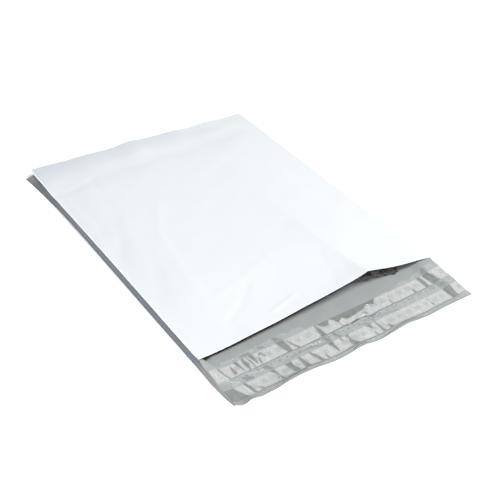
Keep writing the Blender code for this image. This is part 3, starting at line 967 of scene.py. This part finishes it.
def build_cushion(settings):
    """A crumpled wad of clear film, with lobes towards the mouth."""
    shape = bmesh.new()
    bmesh.ops.create_icosphere(shape, subdivisions=6, radius=1.0)
    ball = np.array([v.co for v in shape.verts])
    faces = [[v.index for v in f.verts] for f in shape.faces]
    shape.free()
    reach = smooth_outline(WAD_REACH, np.degrees(np.arctan2(ball[:, 1], ball[:, 0])))
    x = WAD_CENTRE[0] + ball[:, 0] * reach
    y = WAD_CENTRE[1] + ball[:, 1] * reach
    room = front_height(x, np.maximum(y, LIP_LENGTH)) - 1.4
    height = 0.40 + 0.68 * room * 0.5 * (1.0 + ball[:, 2])
    for lobe_x, lobe_y, radius, rise in WAD_LOBES:
        away = np.hypot(x - lobe_x, y - lobe_y) / radius
        height += np.clip(ball[:, 2] + 0.4, 0.0, 1.0) * rise * 0.35 * np.exp(-away * away)
    creases = ridged_noise(x, y, 13.0, 61) + 0.5 * ridged_noise(x + 3.0 * ball[:, 2], y, 6.0, 62)
    depth = settings.crumple * ease(height / 3.0)
    height = np.clip(height - depth * creases, 0.35, np.maximum(room, 0.5))
    push = settings.crumple * 0.8 * soft_noise(x + 9.0 * ball[:, 2], y, 11.0, 63)
    points = np.stack([x + ball[:, 0] * push, y + ball[:, 1] * push, height], 1)
    made = new_object("crumpled_cushion", points, faces,
                      (cushion_material(settings.colour, settings.roughness),))
    made.data.shade_smooth()
    made.data.set_sharp_from_angle(angle=math.radians(38.0))
    return made


# ---------------------------------------------------------------- stage

CAMERA_PLACE = (-0.5932, -0.7799, 0.7428)
CAMERA_AZIMUTH = math.radians(38.461)
CAMERA_ELEVATION = math.radians(38.116)
CAMERA_ROLL = math.radians(4.71)


def build_camera(lens):
    """A camera that looks down across the bag from beyond its lip's left corner."""
    az, el, roll = CAMERA_AZIMUTH, CAMERA_ELEVATION, CAMERA_ROLL
    forward = Vector((math.sin(az) * math.cos(el), math.cos(az) * math.cos(el), -math.sin(el)))
    level = Vector((math.cos(az), -math.sin(az), 0.0))
    above = level.cross(forward)
    right = level * math.cos(roll) + above * math.sin(roll)
    up = above * math.cos(roll) - level * math.sin(roll)
    data = bpy.data.cameras.new("view")
    data.lens = lens
    data.sensor_width = 36.0
    data.clip_start = 0.01
    data.clip_end = 100.0
    camera = bpy.data.objects.new("view", data)
    turned = Matrix((right, up, -forward)).transposed()
    camera.matrix_world = Matrix.Translation(CAMERA_PLACE) @ turned.to_4x4()
    bpy.context.scene.collection.objects.link(camera)
    bpy.context.scene.camera = camera


def build_light(name, place, target, size, power, colour):
    data = bpy.data.lights.new(name, "AREA")
    data.shape = "DISK"
    data.size = size
    data.energy = power
    data.color = colour
    light = bpy.data.objects.new(name, data)
    aim = Vector(target) - Vector(place)
    light.rotation_euler = aim.to_track_quat("-Z", "Y").to_euler()
    light.location = place
    bpy.context.scene.collection.objects.link(light)


def build_floor(colour, glow):
    shape = bmesh.new()
    bmesh.ops.create_grid(shape, x_segments=1, y_segments=1, size=15.0)
    mesh = bpy.data.meshes.new("floor")
    shape.to_mesh(mesh)
    shape.free()
    mesh.transform(Matrix.Translation((0.0, 0.0, FILM_LOW.z - 0.00005)))
    surface = Surface("floor", 0.9)
    surface.set("Base Color", (*colour, 1.0))
    surface.set("Specular IOR Level", 0.0)
    surface.set("Emission Color", (1.0, 1.0, 1.0, 1.0))
    surface.set("Emission Strength", glow)
    mesh.materials.append(surface.material)
    floor = bpy.data.objects.new("floor", mesh)
    bpy.context.scene.collection.objects.link(floor)


def build_world(colour, strength):
    world = bpy.data.worlds.new("studio")
    world.use_nodes = True
    background = world.node_tree.nodes["Background"]
    background.inputs["Color"].default_value = (*colour, 1.0)
    background.inputs["Strength"].default_value = strength
    bpy.context.scene.world = world


# ---------------------------------------------------------------- settings


def colour_property(name, description, default):
    return FloatVectorProperty(name=name, description=description, default=default, subtype="COLOR",
                               min=0.0, max=1.0)


def length_property(name, description, default):
    return FloatProperty(name=name, description=description, default=default, unit="LENGTH",
                         subtype="DISTANCE", min=0.0, precision=5)


class MailerFilmSettings(PropertyGroup):
    outside_colour: colour_property("Outside", "The film's white outer side", (0.775, 0.80, 0.82))
    inside_colour: colour_property("Inside", "The film's grey inner side", (0.325, 0.345, 0.345))
    # Painted shade of the pocket: a brown fringe, then near black.
    shade_fringe_colour: colour_property("Umber", "The inner side where the pocket starts to darken", (0.15, 0.115, 0.085))
    pocket_shadow_colour: colour_property("Pocket", "The inner side in the dark of the pocket", (0.012, 0.011, 0.010))
    # Painted shade of the flange, cool between and warm by the lip and its far tip.
    flange_shade_colour: colour_property("Flange", "The weld's flange", (0.20, 0.235, 0.275))
    flange_warm_shade_colour: colour_property("Flange, warm", "The flange by the lip and at its far tip",
                                        (0.25, 0.245, 0.24))
    # Painted highlight of the rim and the mouth's edge.
    rim_highlight_colour: colour_property("Edge", "The bright edge of the mouth and the rim", (0.93, 0.94, 0.95))
    thickness: length_property("Thickness", "Thickness of the film", 0.0000635)
    roughness: FloatProperty(name="Roughness", description="Sheen of the outer side", default=0.46,
                             min=0.0, max=1.0, subtype="FACTOR")


class MailerStripSettings(PropertyGroup):
    colour: colour_property("Adhesive", "Adhesive where the liner wets it", (0.70, 0.69, 0.67))
    gap_colour: colour_property("Gap", "Adhesive where the liner stands off it", (0.19, 0.205, 0.185))
    pad_colour: colour_property("Pad", "The repeated pads along each strip", (0.44, 0.485, 0.50))
    strip_thickness: length_property("Thickness", "Thickness of the adhesive", 0.00008)
    pad_pitch: length_property("Pad pitch", "Distance from one pad to the next", 0.0144)
    pad_width: length_property("Pad width", "Size of a pad along the strip", 0.0098)
    pad_height: length_property("Pad height", "Size of a pad across the strip", 0.0074)
    pad_corner: length_property("Pad corner", "Corner radius of a pad", 0.0012)
    pad_thickness: length_property("Pad thickness", "How far a pad stands up", 0.00003)
    pad_spread: length_property("Pad spread", "How far a pad may stray from its place", 0.0011)
    pad_count: IntProperty(name="Pads", description="Number of places along each strip", default=23, min=1)
    first_pad: FloatProperty(name="First pad", description="Place of the first pad, in millimetres",
                             default=34.4)


class MailerLinerSettings(PropertyGroup):
    colour: colour_property("Liner", "The liner's own tint", (0.80, 0.83, 0.84))
    shadow_colour: colour_property("Crease", "The liner where it creases", (0.10, 0.11, 0.105))
    veil: FloatProperty(name="Veil", description="How much the liner hides of what it covers", default=0.24,
                        min=0.0, max=1.0, subtype="FACTOR")
    thickness: length_property("Thickness", "Thickness of the liner", 0.00004)


class MailerCushionSettings(PropertyGroup):
    # The wad's colour is painted shade of the mouth.
    colour: colour_property("Cushion film", "The wad's tint in the dark of the mouth", (0.060, 0.048, 0.040))
    crumple: FloatProperty(name="Crumple", description="Depth of the creases, in millimetres", default=2.2,
                           min=0.0)
    roughness: FloatProperty(name="Roughness", description="Gloss of the wad", default=0.10, min=0.0, max=1.0,
                             subtype="FACTOR")


class MailerStageSettings(PropertyGroup):
    floor_colour: colour_property("Floor", "Colour of the floor", (0.96, 0.96, 0.96))
    sky_colour: colour_property("Sky", "Colour of the light from all round", (0.90, 0.95, 1.0))
    sky: FloatProperty(name="Sky strength", description="Light from all round", default=0.36, min=0.0)
    glow: FloatProperty(name="Floor glow", description="Light from the lit floor itself", default=0.36, min=0.0)
    key: FloatProperty(name="Key power", description="Power of the overhead light", default=86.0, min=0.0,
                       unit="POWER")
    lens: FloatProperty(name="Lens", description="Focal length", default=67.1, min=1.0, unit="CAMERA")


# ---------------------------------------------------------------- operators


def settle(piece, slot, *nodes):
    """Puts a finished piece on the part's one body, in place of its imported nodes."""
    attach(piece, "root")
    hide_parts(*nodes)


class MAILER_OT_film(Operator):
    """Build the folded film with its lip and weld flange"""
    bl_idname = "mailer.film"
    bl_label = "Film"

    def execute(self, context):
        settle(build_film(context.scene.mailer_film), "mailer_film", "mailer_film")
        return {"FINISHED"}


class MAILER_OT_strips(Operator):
    """Build both adhesive strips with their gaps and pads"""
    bl_idname = "mailer.strips"
    bl_label = "Adhesive strips"

    def execute(self, context):
        settings = context.scene.mailer_strips
        looks = (adhesive_material(settings.colour, settings.gap_colour),
                 pad_material(settings.pad_colour, settings.gap_colour))
        plain_top = ((0, OUTER_STRIP + STRIP_WIDTH + 1), (BAG_WIDTH, OUTER_STRIP + STRIP_WIDTH + 1))
        outer = build_strip("outer_adhesive", OUTER_STRIP, OUTER_GAPS, plain_top, settings, looks)
        settle(outer, "adhesive", "adhesive_strip_outer")
        inner = build_strip("inner_adhesive", INNER_STRIP, INNER_GAPS, INNER_TOP, settings, looks)
        settle(inner, "adhesive", "adhesive_strip_inner")
        return {"FINISHED"}


class MAILER_OT_liner(Operator):
    """Build the clear release liner"""
    bl_idname = "mailer.liner"
    bl_label = "Release liner"

    def execute(self, context):
        settle(build_liner(context.scene.mailer_liner), "release_liner", "release_liner")
        return {"FINISHED"}


class MAILER_OT_cushion(Operator):
    """Build the wad of clear cushion film in the mouth"""
    bl_idname = "mailer.cushion"
    bl_label = "Cushion film"

    def execute(self, context):
        settle(build_cushion(context.scene.mailer_cushion), "cushion_film", "cushion_film_wad")
        return {"FINISHED"}


class MAILER_OT_stage(Operator):
    """Build the floor, the lights and the camera"""
    bl_idname = "mailer.stage"
    bl_label = "Stage"

    def execute(self, context):
        settings = context.scene.mailer_stage
        build_floor(settings.floor_colour, settings.glow)
        build_world(settings.sky_colour, settings.sky)
        build_light("key", (0.72, -1.22, 2.5), (0.05, -0.03, 0.0), 1.1, settings.key, (1.0, 0.99, 0.975))
        build_camera(settings.lens)
        context.scene.view_settings.view_transform = "Standard"
        return {"FINISHED"}


STEPS = (MAILER_OT_film, MAILER_OT_strips, MAILER_OT_liner, MAILER_OT_cushion, MAILER_OT_stage)
SETTINGS = {
    "mailer_film": MailerFilmSettings,
    "mailer_strips": MailerStripSettings,
    "mailer_liner": MailerLinerSettings,
    "mailer_cushion": MailerCushionSettings,
    "mailer_stage": MailerStageSettings,
}


class MAILER_PT_bag(Panel):
    """Lists the settings and steps of the bag"""
    bl_label = "Mailer Bag"
    bl_idname = "MAILER_PT_bag"
    bl_space_type = "VIEW_3D"
    bl_region_type = "UI"
    bl_category = "Mailer Bag"

    def draw(self, context):
        for (name, group), step in zip(SETTINGS.items(), STEPS):
            box = self.layout.box()
            box.operator(step.bl_idname)
            for key in group.__annotations__:
                box.prop(getattr(context.scene, name), key)


def register():
    for group in SETTINGS.values():
        bpy.utils.register_class(group)
    for name, group in SETTINGS.items():
        setattr(bpy.types.Scene, name, PointerProperty(type=group))
    for step in STEPS + (MAILER_PT_bag,):
        bpy.utils.register_class(step)


def unregister():
    for step in reversed(STEPS + (MAILER_PT_bag,)):
        bpy.utils.unregister_class(step)
    for name, group in reversed(SETTINGS.items()):
        delattr(bpy.types.Scene, name)
        bpy.utils.unregister_class(group)


def main():
    register()
    bpy.ops.mailer.film()
    bpy.ops.mailer.strips()
    bpy.ops.mailer.liner()
    bpy.ops.mailer.cushion()
    bpy.ops.mailer.stage()


if __name__ == "__main__":
    main()
